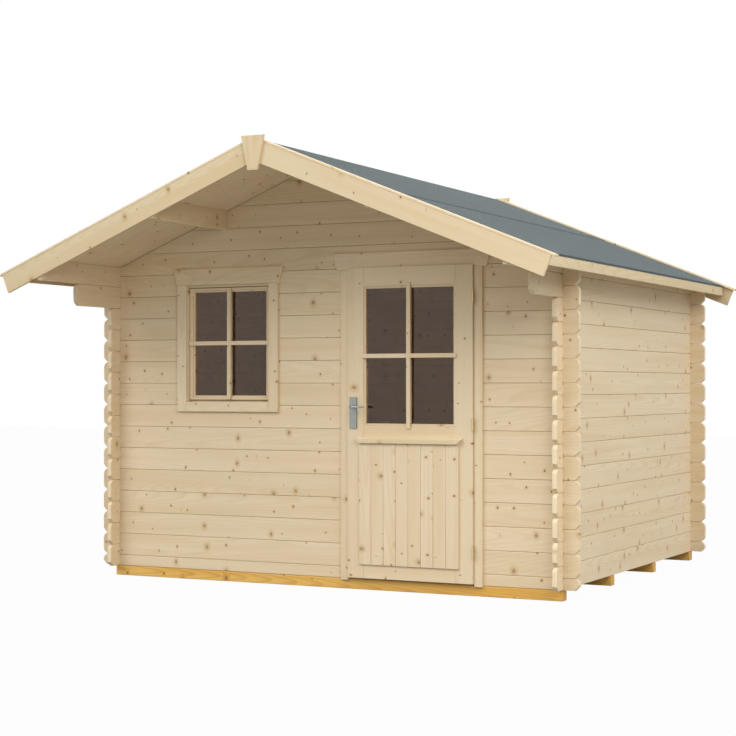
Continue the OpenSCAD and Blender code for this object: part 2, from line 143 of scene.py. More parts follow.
# %% Node helper
class Wire:
    """One output socket, on which sums can be written."""

    def __init__(self, tree, socket):
        self.tree, self.socket = tree, socket

    def out(self, name):
        """Another output of the same node."""
        return Wire(self.tree, pick(self.socket.node.outputs, name))

    def math(self, operation, *values, clamp=False):
        return make(self.tree, "ShaderNodeMath", dict(enumerate(values)),
                    operation=operation, use_clamp=clamp)

    def __add__(self, other): return self.math("ADD", self, other)
    def __radd__(self, other): return self.math("ADD", other, self)
    def __sub__(self, other): return self.math("SUBTRACT", self, other)
    def __rsub__(self, other): return self.math("SUBTRACT", other, self)
    def __mul__(self, other): return self.math("MULTIPLY", self, other)
    def __rmul__(self, other): return self.math("MULTIPLY", other, self)
    def __truediv__(self, other): return self.math("DIVIDE", self, other)
    def __gt__(self, other): return self.math("GREATER_THAN", self, other)
    def fract(self): return self.math("FRACT", self)
    def clamp(self): return self.math("ADD", self, 0.0, clamp=True)

    def step(self, low, high):
        """0 below low, 1 above high, and smooth between them."""
        return make(self.tree, "ShaderNodeMapRange",
                    {"Value": self, "From Min": low, "From Max": high},
                    interpolation_type="SMOOTHSTEP")


def pick(sockets, key):
    """A socket by its number, identifier or name."""
    if isinstance(key, int):
        return sockets[key]
    for socket in sockets:
        if socket.identifier == key:
            return socket
    return sockets[key]


def make(tree, kind, inputs=None, out=0, **settings):
    """A new node of a tree: its settings, then its sockets; returns one output."""
    node = tree.nodes.new(kind)
    for name, value in settings.items():
        setattr(node, name, value)
    for key, value in (inputs or {}).items():
        socket = pick(node.inputs, key)
        if isinstance(value, Wire):
            tree.links.new(value.socket, socket)
        else:
            socket.default_value = value
    return Wire(tree, pick(node.outputs, out)) if len(node.outputs) else node


# %% Colours and patterns
def blend_colour(tree, amount, first, second):
    """First colour where amount is 0, second where it is 1."""
    return make(tree, "ShaderNodeMix", {"Factor_Float": amount, "A_Color": first, "B_Color": second},
                out="Result_Color", data_type="RGBA")


def paint(red, green, blue):
    """A colour given as on screen, from 0 to 255, as the shader wants it."""
    def linear(value):
        value /= 255
        return value / 12.92 if value <= 0.04045 else ((value + 0.055) / 1.055) ** 2.4
    return (linear(red), linear(green), linear(blue), 1.0)


def stretch(tree, vector, scale):
    """A vector scaled by a fixed amount along each axis."""
    return make(tree, "ShaderNodeVectorMath", {0: vector, 1: scale}, operation="MULTIPLY")


def noise(tree, vector, scale=1.0, detail=2.0, rough=0.5):
    return make(tree, "ShaderNodeTexNoise",
                {"Vector": vector, "Scale": scale, "Detail": detail, "Roughness": rough}, out="Fac")


def new_finish(name):
    """An empty material and its node tree."""
    finish = bpy.data.materials.new(name)
    finish.use_nodes = True
    finish.node_tree.nodes.clear()
    return finish, finish.node_tree


def close_finish(tree, inputs, bump=None):
    """Ends a finish with its shader; bump is a height, a strength and a distance."""
    if bump:
        inputs["Normal"] = make(tree, "ShaderNodeBump",
                                dict(zip(("Height", "Strength", "Distance"), bump)))
    surface = make(tree, "ShaderNodeBsdfPrincipled", inputs)
    make(tree, "ShaderNodeOutputMaterial", {"Surface": surface})


print("node helper ready")

# %% [markdown]
# ## Spruce
#
# The walls are planed, untreated spruce: pale straw, with fine darker lines of
# late wood along each board, soft streaks and small brown knots with a paler
# halo. The pattern could be painted on, but it has to follow every board, the
# sloping ones too. So each board carries its own coordinates: along the grain,
# across it and through the thickness. The rings are the contour lines of a
# noise that is long along the grain, and a knot pushes the lines aside.

# %% Timber finish
KNOT_CELL, STREAK_CELL = 0.15, 0.12
BIG_KNOTS, PITCH_STREAKS = 0.18, 0.2
RING_LINES = 74


def timber(name, pale, warm, late, end_grain_and_highlight, knot_rim, knot_core,
           ring_depth=0.14, knots=0.62, rough=0.62):
    """A planed softwood that reads the boards' own coordinates."""
    finish, tree = new_finish(name)
    grain = make(tree, "ShaderNodeAttribute", attribute_name="grain", out="Vector")
    tone = make(tree, "ShaderNodeAttribute", attribute_name="tone", out="Fac")
    end = make(tree, "ShaderNodeAttribute", attribute_name="end", out="Fac")
    axes = make(tree, "ShaderNodeSeparateXYZ", {0: grain})
    wobble = noise(tree, grain, 60, 2)

    def along_grain(length, width, detail):
        """Noise that is drawn out along the grain."""
        return noise(tree, stretch(tree, grain, (length, width, width)), 1.0, detail)

    def spots(x, y, cell):
        """Round spots of the plane of the face: the way to the middle, and dice for each."""
        flat = make(tree, "ShaderNodeCombineXYZ", {0: x, 1: y})
        spot = make(tree, "ShaderNodeTexVoronoi", {"Vector": flat, "Scale": 1 / cell},
                    out="Distance", voronoi_dimensions="2D")
        return spot * cell, make(tree, "ShaderNodeSeparateColor", {0: spot.out("Color")})

    # knots of random size, some left out; a big one is fainter
    away, dice = spots(axes * 1.25, axes.out("Y"), KNOT_CELL)
    kept = dice.out("Red") > (1 - knots)
    big = dice.out("Blue") > (1 - BIG_KNOTS)
    size = 0.0026 + 0.0032 * dice.out("Green") + 0.0065 * big
    reach = away * (0.7 + 0.6 * wobble) / size
    shown = kept * (1 - 0.6 * big)
    core = (1 - reach.step(0.5, 0.95)) * shown
    rim = (1 - reach.step(0.8, 1.35)) * shown
    halo = (1 - reach.step(0.5, 4.0)) * kept
    # pitch streaks: short dark lines near some knots
    away, dice = spots(axes + 7.3, axes.out("Y") * 0.16, STREAK_CELL)
    rare = dice.out("Red") > (1 - PITCH_STREAKS)
    pitch = (1 - (away * (0.6 + 0.8 * wobble)).step(0.0008, 0.0026)) * rare
    # rings: contour lines of a long noise, pushed aside round a knot
    rings = ((along_grain(0.17, 3.4, 0.0) + 0.02 * halo) * RING_LINES).fract()
    late_wood = rings.step(0.35, 0.93) * (1 - rings.step(0.94, 1.0))
    broad = along_grain(0.8, 15, 3.0)
    cloud = along_grain(2.2, 4.0, 2.0)
    fibre = along_grain(16, 620, 2.0)
    colour = blend_colour(tree, broad.step(0.32, 0.72), pale, warm)
    # end-grain faces take the end colour: on the spruce a lighter one, a painted highlight on the log
    # ends; on the beams a darker end grain
    for amount, layer in ((late_wood * ring_depth * (0.55 + cloud), late),
                          (fibre.step(0.35, 0.85) * 0.16, late), (end * 0.35, end_grain_and_highlight),
                          (halo * 0.6, late), (pitch * 0.55, knot_rim),
                          (rim * 0.9, knot_rim), (core * 0.75, knot_core)):
        colour = blend_colour(tree, amount, colour, layer)
    colour = make(tree, "ShaderNodeHueSaturation",
                  {"Hue": 0.5 - tone * 0.001, "Saturation": 1.0 - tone * 0.02,
                   "Value": 1.0 + tone * 0.025 + (cloud - 0.5) * 0.06, "Color": colour})
    height = late_wood * 0.35 + fibre * 0.65 - core * 0.5
    close_finish(tree, {"Base Color": colour, "Roughness": rough + 0.1 * late_wood - 0.12 * core},
                 (height, 0.25, 0.0006))
    print("made", name)
    return finish


# the spruce's end colour is lighter than its faces: a painted highlight where the log ends catch the
# light
SPRUCE = timber("spruce", pale=paint(232, 213, 180), warm=paint(226, 204, 166),
                late=paint(199, 164, 110), end_grain_and_highlight=paint(250, 230, 192),
                knot_rim=paint(132, 98, 54), knot_core=paint(98, 74, 46))

# %% [markdown]
# ## Impregnated pine
#
# The foundation beams lie on damp ground, so they are pressure treated, which
# turns pine golden. It is the same timber recipe with stronger rings, more
# knots and a richer colour.

# %% Beam finish
TREATED = timber("impregnated_pine", pale=paint(234, 190, 98), warm=paint(222, 170, 70),
                 late=paint(176, 116, 44), end_grain_and_highlight=paint(190, 138, 66),
                 knot_rim=paint(112, 68, 30), knot_core=paint(84, 54, 28),
                 ring_depth=0.35, knots=0.75, rough=0.58)

# %% [markdown]
# ## Roofing felt
#
# Roofing felt is bitumen sheet with slate granules pressed into its face. Each
# granule is a cell of a small Voronoi pattern with its own grey-green tone and
# height, and slow noise adds the cloudy look of a rolled-out sheet.

# %% Felt finish
def felt_finish():
    finish, tree = new_finish("bitumen_felt")
    place = make(tree, "ShaderNodeTexCoord", out="Object")
    grains = make(tree, "ShaderNodeTexVoronoi", {"Vector": place, "Scale": 420.0}, out="Distance")
    dice = make(tree, "ShaderNodeSeparateColor", {0: grains.out("Color")})
    cloud = noise(tree, place, 3.2, 4.0, 0.6)
    patch = noise(tree, place, 34.0, 3.0, 0.6)
    mottle = noise(tree, place, 85.0, 2.0, 0.6).step(0.3, 0.7)
    colour = blend_colour(tree, dice.out("Red").step(0.2, 0.95), paint(44, 56, 58), paint(80, 94, 94))
    colour = blend_colour(tree, (dice.out("Green") > 0.93) * 0.6, colour, paint(150, 160, 160))
    colour = blend_colour(tree, (dice.out("Blue") > 0.9) * 0.6, colour, paint(40, 48, 52))
    colour = make(tree, "ShaderNodeHueSaturation",
                  {"Value": 0.5 + 0.3 * cloud + 0.4 * patch + 0.34 * mottle, "Color": colour})
    height = (1 - grains.step(0.0, 0.6)) + 0.5 * dice.out("Red")
    close_finish(tree, {"Base Color": colour, "Roughness": 0.82 + 0.1 * dice.out("Green")},
                 (height, 0.5, 0.0012))
    return finish


FELT = felt_finish()
print("made", FELT.name)

# %% [markdown]
# ## Glass and metal
#
# The panes are thin float glass with a warm tint, which is painted shade:
# it browns the dim room seen through them. A faint dust lifts the roughness
# in patches. The handle is satin aluminium, brushed along the plate, and the
# hinges are steel with the usual yellow zinc coat, slightly mottled.

# %% Glass and metal finishes
def glass_finish():
    finish, tree = new_finish("pane")
    dust = noise(tree, make(tree, "ShaderNodeTexCoord", out="Object"), 7.0, 4.0, 0.6)
    # a warm tint, painted shade that browns the dim room seen through the pane; the dust shifts it a
    # little
    colour = blend_colour(tree, dust.step(0.3, 0.8), paint(250, 217, 183), paint(243, 208, 172))
    close_finish(tree, {"Base Color": colour, "Roughness": 0.012 * dust.step(0.45, 0.8),
                        "IOR": 1.45, "Specular IOR Level": 0.25, "Transmission Weight": 1.0})
    return finish


def metal_finish(name, light, dark, brush, rough):
    finish, tree = new_finish(name)
    place = make(tree, "ShaderNodeTexCoord", out="Object")
    lines = noise(tree, stretch(tree, place, brush), 1.0, 3.0)
    wear = noise(tree, place, 45.0, 3.0, 0.6)
    colour = blend_colour(tree, lines.step(0.3, 0.7), light, dark)
    colour = blend_colour(tree, wear.step(0.55, 0.75) * 0.35, colour, dark)
    close_finish(tree, {"Base Color": colour, "Metallic": 0.9, "Roughness": rough + 0.14 * wear},
                 (lines, 0.12, 0.0002))
    return finish


PANE = glass_finish()
HANDLE = metal_finish("handle_metal", paint(158, 163, 158), paint(126, 130, 126),
                      brush=(1800, 1800, 30), rough=0.34)
STEEL = metal_finish("hinge_metal", paint(216, 196, 156), paint(190, 168, 126),
                     brush=(500, 500, 500), rough=0.4)
print("made", PANE.name, HANDLE.name, STEEL.name)

# %% [markdown]
# ## One board
#
# Everything wooden here starts as a board: an outline, swept to a thickness,
# with its long edges eased by a small round, which is what catches the light
# along every joint of a planed log wall. A cube with a bevel could do for
# plain boards, but log ends, notches and gable cuts need an outline. Each
# board writes down where its grain runs, its own tone, and which faces are
# end grain, so that one finish fits them all.

# %% Board maker
EASE_STEPS = 2
SHARP_ABOVE = math.radians(20)
GRAIN_SHIFT = 40  # metres: each board is cut from its own part of the pattern
END_GRAIN = 0.75  # a face that looks this far along the grain is end grain
AXIS = {"p": 0, "q": 1, "r": 2}


class Pile:
    """Boards of one piece, collected into one mesh."""

    def __init__(self, seed, shade=0.0):
        self.verts, self.faces, self.grain, self.tone, self.end = [], [], [], [], []
        self.shade = shade
        self.dice = random.Random(seed)

    def add(self, outline, depth, place, grain="pqr", turn=0.0, ease=2.5, corners=False, shape=None):
        """Sweeps an outline in p, q to a depth in r; place takes p, q, r to the house grid.

        The letters of grain say what runs along, across and through the wood,
        and turn tilts the grain in p, q. Corners eases the cut ends too."""
        work = bmesh.new()
        low = [work.verts.new((p, q, 0.0)) for p, q in outline]
        high = [work.verts.new((p, q, depth)) for p, q in outline]
        work.faces.new(low[::-1])
        work.faces.new(high)
        for i in range(len(outline)):
            j = (i + 1) % len(outline)
            work.faces.new((low[i], low[j], high[j], high[i]))
        if ease:
            rims = [e for e in work.edges
                    if corners or abs(e.verts[0].co.z - e.verts[1].co.z) < 1e-6]
            bmesh.ops.bevel(work, geom=rims, offset=ease, segments=EASE_STEPS, profile=0.5,
                            affect="EDGES", clamp_overlap=True)
        work.normal_update()
        cos, sin = math.cos(turn), math.sin(turn)
        along = Vector((cos, sin, 0)) if turn else Vector([float(a == grain[0]) for a in "pqr"])
        self.end.extend(float(abs(f.normal.dot(along)) > END_GRAIN) for f in work.faces)
        shift = [self.dice.uniform(-GRAIN_SHIFT, GRAIN_SHIFT) for _ in range(3)]
        self.tone.extend([self.dice.uniform(-1, 1) + self.shade] * len(work.verts))
        for vert in work.verts:
            p, q, r = vert.co
            local = ((p * cos + q * sin, q * cos - p * sin, r) if turn
                     else [vert.co[AXIS[letter]] for letter in grain])
            self.grain.extend(c / METRE + s for c, s in zip(local, shift))
            vert.co = in_model(*place(*(shape(p, q, r) if shape else (p, q, r))))
        bmesh.ops.recalc_face_normals(work, faces=work.faces)
        work.verts.index_update()
        base = len(self.verts)
        self.verts.extend(tuple(v.co) for v in work.verts)
        self.faces.extend([base + v.index for v in f.verts] for f in work.faces)
        work.free()

    def piece(self, name, finish):
        """The finished mesh object of all boards added so far."""
        mesh = bpy.data.meshes.new(name)
        mesh.from_pydata(self.verts, [], self.faces)
        mesh.attributes.new("grain", "FLOAT_VECTOR", "POINT").data.foreach_set("vector", self.grain)
        mesh.attributes.new("tone", "FLOAT", "POINT").data.foreach_set("value", self.tone)
        mesh.attributes.new("end", "FLOAT", "FACE").data.foreach_set("value", self.end)
        mesh.materials.append(finish)
        mesh.shade_smooth()
        mesh.set_sharp_from_angle(angle=SHARP_ABOVE)
        return add_object(name, mesh)


# %% Settling a piece
def settle(piece, body, slot, *nodes):
    """Fixes a finished piece to its body and hides the CAD nodes it stands for; the slot is not used.
    """
    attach(piece, body)
    if nodes:
        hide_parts(*nodes)
    print(piece.name, "rides on", body, "with", len(piece.data.polygons), "faces")


def fit(pile, name, *nodes, body="house", copies=None):
    """Settles a pile of spruce boards as one piece; copies are a count, a step and a seed."""
    piece = pile.piece(name, SPRUCE)
    if copies:
        repeat(piece, *copies)
    settle(piece, body, "spruce", *nodes)


def one_board(seed, outline, depth, place, shade=0.0, **how):
    """A pile of a single board."""
    pile = Pile(seed, shade)
    pile.add(outline, depth, place, **how)
    return pile


def upright(y):
    """Places an outline of x and z with its front at y."""
    return lambda p, q, r: (p, y + r, q)


def rectangle(p0, p1, q0, q1):
    return [(p0, q0), (p1, q0), (p1, q1), (p0, q1)]


def box_board(pile, x0, x1, y0, y1, z0, z1, grain="pqr", ease=2.0, corners=True):
    """A plain board given by its box, with every edge eased."""
    pile.add(rectangle(x0, x1, z0, z1), y1 - y0, upright(y0), grain, ease=ease, corners=corners)


# %% [markdown]
# ## Log outlines
#
# A log board of this house ends 95 mm past the corner, with its upper corner
# rounded and its lower one chamfered, which gives the corner its scalloped
# look. Where two walls cross, each board is notched a quarter of its height
# from above and from below. Doors and windows are longer notches, or they
# split the board in two.

# %% Log outlines
SEAM, TIGHT = 1.2, 0.3  # the open joint of two logs, and of two roof boards
ARC_STEPS = 8


def log_end_points(x, low, high):
    """The end of a log, going up, on its right side."""
    cut = min(END_CHAMFER, 0.45 * (high - low))
    bend = min(END_ROUND, 0.5 * (high - low))
    arc = [math.pi / 2 * i / ARC_STEPS for i in range(ARC_STEPS + 1)]
    return [(x - cut, low), (x, low + cut)] + [
        (x - bend + bend * math.cos(a), high - bend + bend * math.sin(a)) for a in arc]


def log_outline(start, stop, low, high, left="log", right="log", below=(), above=()):
    """A board from start to stop, with notches (from, to, depth) below and above."""
    low += SEAM
    points = [(start, low)] if left == "square" else []
    for x0, x1, depth in below:
        points += [(x0, low), (x0, low + depth), (x1, low + depth), (x1, low)]
    points += log_end_points(stop, low, high) if right == "log" else [(stop, low), (stop, high)]
    for x0, x1, depth in reversed(above):
        points += [(x1, high), (x1, high - depth), (x0, high - depth), (x0, high)]
    if left == "square":
        return points + [(start, high)]
    return points + [(-x, z) for x, z in reversed(log_end_points(-start, low, high))]


def clip(points, a, b, limit):
    """Keeps the part of an outline where a*x + b*z is at most the limit."""
    kept = []
    for (x0, z0), (x1, z1) in zip(points, points[1:] + points[:1]):
        d0, d1 = limit - a * x0 - b * z0, limit - a * x1 - b * z1
        if d0 >= 0:
            kept.append((x0, z0))
        if d0 * d1 < 0:
            t = d0 / (d0 - d1)
            kept.append((x0 + t * (x1 - x0), z0 + t * (z1 - z0)))
    return kept


# %% [markdown]
# ## Repeating a board with Geometry Nodes
#
# Most courses of a wall are the same board, and so are the roof and floor
# boards. A loop could copy them, but a small node tree is easier to retune: it
# sets out a row of points, puts the board on each, rolls a tone and a shift of
# grain for each copy, and turns the copies into real mesh at the end.

# %% Board repeater
def repeater_tree():
    tree = bpy.data.node_groups.new("repeat_board", "GeometryNodeTree")
    for name, kind in (("Board", "Geometry"), ("Count", "Int"), ("Step", "Vector"),
                       ("Seed", "Int"), ("Spread", "Float"), ("Finish", "Material")):
        tree.interface.new_socket(name, in_out="INPUT", socket_type="NodeSocket" + kind)
    tree.interface.new_socket("Boards", in_out="OUTPUT", socket_type="NodeSocketGeometry")

    def store(boards, name, value, kind, domain):
        return make(tree, "GeometryNodeStoreNamedAttribute",
                    {"Geometry": boards, "Name": name, "Value": value}, data_type=kind, domain=domain)

    def stored(name):
        return make(tree, "GeometryNodeInputNamedAttribute", {"Name": name}, data_type="FLOAT_VECTOR")

    given = make(tree, "NodeGroupInput", out="Board")
    row = make(tree, "GeometryNodeMeshLine",
               {"Count": given.out("Count"), "Offset": given.out("Step")}, mode="OFFSET")
    boards = make(tree, "GeometryNodeInstanceOnPoints", {"Points": row, "Instance": given})
    tone = make(tree, "FunctionNodeRandomValue",
                {"Min_001": -1.0, "Max_001": 1.0, "Seed": given.out("Seed")},
                out="Value_001", data_type="FLOAT") * given.out("Spread")
    shift = make(tree, "FunctionNodeRandomValue",
                 {"Min": (-GRAIN_SHIFT,) * 3, "Max": (GRAIN_SHIFT,) * 3, "Seed": given.out("Seed")},
                 out="Value", data_type="FLOAT_VECTOR")
    boards = store(boards, "tone", tone, "FLOAT", "INSTANCE")
    boards = store(boards, "shift", shift, "FLOAT_VECTOR", "INSTANCE")
    boards = make(tree, "GeometryNodeRealizeInstances", {"Geometry": boards})
    grain = make(tree, "ShaderNodeVectorMath", {0: stored("grain"), 1: stored("shift")},
                 operation="ADD")
    boards = store(boards, "grain", grain, "FLOAT_VECTOR", "POINT")
    boards = make(tree, "GeometryNodeSetMaterial",
                  {"Geometry": boards, "Material": given.out("Finish")})
    make(tree, "NodeGroupOutput", {"Boards": boards})
    return tree


REPEATER = repeater_tree()


def repeat(board, count, step, seed, finish=SPRUCE, spread=1.0):
    """Replaces a one-board piece by count copies, each a step from the last.

    Spread is how far the copies' tones lie apart."""
    tool = board.modifiers.new("repeat", "NODES")
    tool.node_group = REPEATER
    values = {"Count": count, "Step": [s / METRE for s in step], "Seed": seed,
              "Spread": spread, "Finish": finish}
    for item in REPEATER.interface.items_tree:
        if item.name in values:
            tool[item.identifier] = values[item.name]
    name, old = board.name, board.data
    seen = board.evaluated_get(bpy.context.evaluated_depsgraph_get())
    mesh = bpy.data.meshes.new_from_object(seen)
    board.modifiers.remove(tool)
    board.data = mesh
    bpy.data.meshes.remove(old)
    mesh.name = name
    print(name, "repeated", count, "times")


# %% [markdown]
# ## Front wall
#
# The front wall is a stack of log boards with the joints half a course off
# those of the side walls. The window and the door cut into it. Boards between
# them are short pieces. Above the last full log the gable boards follow the
# slope of the roof.

# %% Openings and notches
def opening(node):
    room = span(node)
    return (room.x0, room.x1, room.z0, room.z1)


OPENINGS = [opening("window_frame"), opening("door_frame")]
LEAST = 12  # no strip of a log is left that is thinner than this
ROOF_JOINT = 2.0
LOG_EASE = 3.4
TONGUE, TONGUE_Y, TONGUE_IN = 6, 10, 12
TONGUE_EASE = 0.5
QUARTER = 0.25 * COURSE
INNER_X = HALF_W - WALL_T
CORNERS = [(-HALF_W, -INNER_X), (INNER_X, HALF_W)]


def wall_tongues(pile, y, joint, openings):
    """The hidden tongues that close a joint of an end wall between its openings."""
    half = min(INNER_X, (APEX - joint - TONGUE) / SLOPE) - TONGUE_IN
    if half < 3 * TONGUE_IN:
        return
    edges = [-half - TONGUE_IN, half + TONGUE_IN]
    for x0, x1, z0, z1 in openings:
        if z0 - TONGUE < joint < z1 + TONGUE:
            edges += [x0, x1]
    edges.sort()
    for start, stop in zip(edges[::2], edges[1::2]):
        if stop - start > 3 * TONGUE_IN:
            box_board(pile, start + TONGUE_IN, stop - TONGUE_IN, y + TONGUE_Y, y + WALL_T - TONGUE_Y,
                      joint - TONGUE, joint + TONGUE, ease=TONGUE_EASE, corners=False)


def wall_board(pile, y, low, high, openings, crossed_below=True, crossed_above=True):
    """One course of an end wall, split or notched by the openings."""
    below = [(x0, x1, QUARTER) for x0, x1 in CORNERS] if crossed_below else []
    above = [(x0, x1, QUARTER) for x0, x1 in CORNERS] if crossed_above else []
    splits = []
    for x0, x1, z0, z1 in openings:
        from_below, from_above = z0 - low < LEAST, high - z1 < LEAST
        if z1 <= low + LEAST or z0 >= high - LEAST:
            continue
        if from_below and from_above:
            splits.append((x0, x1))
        elif from_below:
            below.append((x0, x1, z1 - low))
        else:
            above.append((x0, x1, high - z0))
    edges = [-LOG_X] + [x for pair in sorted(splits) for x in pair] + [LOG_X]
    for start, stop in zip(edges[::2], edges[1::2]):
        notches = [sorted(n for n in cuts if start < n[0] and n[1] < stop) for cuts in (below, above)]
        outline = log_outline(start, stop, low, high, "log" if start == -LOG_X else "square",
                              "log" if stop == LOG_X else "square", *notches)
        if high > under(LOG_X):
            for slope in (SLOPE, -SLOPE):
                outline = clip(outline, slope, 1, APEX - ROOF_JOINT)
        pile.add(outline, WALL_T, upright(y), ease=LOG_EASE)
    wall_tongues(pile, y, high, openings)


# %% Front wall and gables
front = Pile(11)
joints = [0.0] + [(k + 0.5) * COURSE for k in range(int(COURSES_TO_GABLE) + 1)]
for low, high in zip(joints, joints[1:]):
    wall_board(front, 0, low, high, OPENINGS, crossed_below=low > 0)
fit(front, "front_wall_logs", "front_wall_left", "front_wall_right")


def gable_boards(end, y, seed, openings):
    pile = Pile(seed)
    low = joints[-1]
    while low < APEX - LEAST:
        wall_board(pile, y, low, low + COURSE, openings, low == joints[-1], crossed_above=False)
        low += COURSE
    fit(pile, f"{end}_gable_boards", f"{end}_gable")


gable_boards("front", 0, 12, OPENINGS)
gable_boards("rear", WALL_D - WALL_T, 13, [])

# %% [markdown]
# ## Rear wall
#
# The rear wall has no opening, so all its full logs are one board, repeated.

# %% Rear wall
rear_log = Pile(21)
wall_board(rear_log, WALL_D - WALL_T, joints[1], joints[2], [])
fit(rear_log, "rear_wall_logs", "rear_wall", copies=(len(joints) - 2, (0, 0, COURSE), 5))
rear_foot = Pile(22)
wall_board(rear_foot, WALL_D - WALL_T, joints[0], joints[1], [], crossed_below=False)
fit(rear_foot, "rear_wall_foot")

# %% [markdown]
# ## Side walls
#
# A side wall is twelve equal logs, then a longer one that carries the roof's
# overhang as a stepped bracket, then the top board, which runs the whole
# length of the roof and is planed to its slope.

# %% Side walls
BRACKET = 446
SIDE_LOGS = 12
CROSSINGS = [(0, WALL_T, QUARTER), (WALL_D - WALL_T, WALL_D, QUARTER)]


def side_wall(side, hand, seed):
    inner = INNER_X if side > 0 else -HALF_W

    def at(inset_x):
        return lambda p, q, r: (inner + inset_x + r, p, q)

    def log(pile, start, stop, low, above=CROSSINGS, end="log", shape=None):
        outline = log_outline(start, stop, low, low + COURSE, end, end, CROSSINGS, above)
        pile.add(outline, WALL_T, at(0), ease=LOG_EASE, shape=shape)

    def tongue(pile, joint):
        pile.add(rectangle(TONGUE_IN, WALL_D - TONGUE_IN, joint - TONGUE, joint + TONGUE),
                 WALL_T - 2 * TONGUE_Y, at(TONGUE_Y), ease=TONGUE_EASE)

    def planed(p, q, r):
        return p, min(q, under(inner + r) - ROOF_JOINT), r

    pile = Pile(seed)
    log(pile, -LOG_END, WALL_D + LOG_END, 0)
    tongue(pile, COURSE)
    fit(pile, f"{hand}_wall_logs", f"{hand}_wall", copies=(SIDE_LOGS, (0, 0, COURSE), seed))
    top = Pile(seed + 1)
    log(top, -BRACKET, WALL_D + LOG_END, SIDE_LOGS * COURSE)
    tongue(top, (SIDE_LOGS + 1) * COURSE)
    log(top, roof.y0, roof.y1, (SIDE_LOGS + 1) * COURSE, above=(), end="square", shape=planed)
    fit(top, f"{hand}_wall_top_boards")


side_wall(*HANDS[0], 31)
side_wall(*HANDS[1], 41)

# %% [markdown]
# ## Foundation beams and floor
#
# Four treated beams lie under the house across its depth, and the floor
# boards lie over them. The beams are square timber with rounder edges than
# the planed logs.

# %% Foundation beams
BEAM_EASE = 4.5


def beam(name, node, seed, count=1):
    room = span(node)
    width = beam_w if count > 1 else room.depth
    piece = one_board(seed, rectangle(room.x0, room.x1, room.z0, room.z1), width,
                      upright(room.y0), ease=BEAM_EASE, corners=True).piece(name, TREATED)
    if count > 1:
        repeat(piece, count, (0, room.y1 - width - room.y0, 0), seed, TREATED)
    settle(piece, "house", "impregnated_pine", node)


beam_w = span("foundation_beam_front").depth
beam("front_beam", "foundation_beam_front", 51)
beam("middle_beams", "foundation_beams_middle", 52, count=2)
beam("rear_beam", "foundation_beam_rear", 53)

# %% Floor boards
FLOOR_BOARDS = 30
deck = span("floor_deck")
floor_step = (deck.x1 - deck.x0) / FLOOR_BOARDS
floor_board = one_board(61, rectangle(deck.x0 + SEAM, deck.x0 + floor_step, deck.z0, deck.z1),
                        deck.depth, upright(deck.y0), grain="rpq", ease=1.5, corners=True)
fit(floor_board, "floor_boards", "floor_deck", copies=(FLOOR_BOARDS, (floor_step, 0, 0), 6))

# %% [markdown]
# ## Roof boards and purlins
#
# The roof is closed with narrow boards that run from the ridge down to the
# eaves, carried by two purlins. Seen from below, under the deep front
# overhang, only their fine joints show.

# %% Roof boards
ROOF_BOARDS, ROOF_SPREAD = 36, 0.3
roof_v = ROOF_T / math.cos(PITCH)
roof_step = roof.depth / ROOF_BOARDS


def roof_place(y, side):
    return lambda p, q, r: (side * p, y + r, q)


def on_both_sides(make_piece, first_seed):
    for i, (side, hand) in enumerate(HANDS):
        make_piece(side, hand, first_seed + i)


def roof_boards(side, hand, seed):
    outline = [(0, APEX), (EAVE_X, under(EAVE_X)), (EAVE_X, under(EAVE_X) + roof_v), (0, APEX + roof_v)]
    board = one_board(seed, outline, roof_step - TIGHT, roof_place(roof.y0, side),
                      grain="prq", ease=0.4)
    fit(board, f"roof_boards_{hand}_side", f"roof_boards_{hand}",
        copies=(ROOF_BOARDS, (0, roof_step, 0), seed, SPRUCE, ROOF_SPREAD))


on_both_sides(roof_boards, 71)


# %% Purlins
def long_board(seed, side, node, rise, ease, shade=0.0):
    """A board as long as the roof, its top at a rise over the roof boards' underside."""
    room = span(node)
    x0, x1 = (room.x0, room.x1) if side > 0 else (-room.x1, -room.x0)
    outline = [(x0, room.z0), (x1, room.z0), (x1, under(x1) + rise), (x0, under(x0) + rise)]
    return one_board(seed, outline, room.depth, roof_place(room.y0, side), shade,
                     grain="rqp", ease=ease, corners=True)


def purlin(side, hand, seed):
    node = f"purlin_{hand}"
    fit(long_board(seed, side, node, -LAY, 2.5), f"purlin_{hand}_side", node)


on_both_sides(purlin, 73)

# %% [markdown]
# ## Roofing felt
#
# Felt comes in rolls a metre wide and is laid from the eaves up. The upper
# sheet laps over the lower one, which shows as a fine line along the roof, and
# the lower sheet is turned down over the eaves board. Each sheet is the
# section of a thin strip, swept along the roof.

# %% Felt sheets
LOWER_TOP, LAP = 780, 100
TURN_DOWN, LAP_RAMP = 9, 40
felt_low = roof_v + LAY


def felt_sheets(side, hand, seed):
    thin = FELT_TOP - felt_low - LAY
    rise = thin + LAY
    top_x, lap_x = LOWER_TOP * math.cos(PITCH), (LOWER_TOP + LAP) * math.cos(PITCH)
    ramp_x = top_x - LAP_RAMP
    edge_x = FELT_X + thin

    def on(x, lift=0):
        return x, under(x) + felt_low + lift

    turned_z = on(FELT_X, -TURN_DOWN)[1]
    lower_sheet = [on(top_x), on(FELT_X), (FELT_X, turned_z), (edge_x, turned_z),
                   on(edge_x, thin), on(top_x, thin)]
    upper_sheet = [on(0), on(ramp_x), on(top_x, rise), on(lap_x, rise), on(lap_x, rise + thin),
                   on(top_x, rise + thin), on(ramp_x, thin), on(0, thin)]
    pile, room = Pile(seed), span(f"roof_felt_{hand}")
    for sheet in (lower_sheet, upper_sheet):
        pile.add(sheet, room.depth, roof_place(room.y0, side), grain="rpq", ease=0.6)
    settle(pile.piece(f"felt_{hand}_side", FELT), "house", "bitumen_felt", f"roof_felt_{hand}")


on_both_sides(felt_sheets, 81)

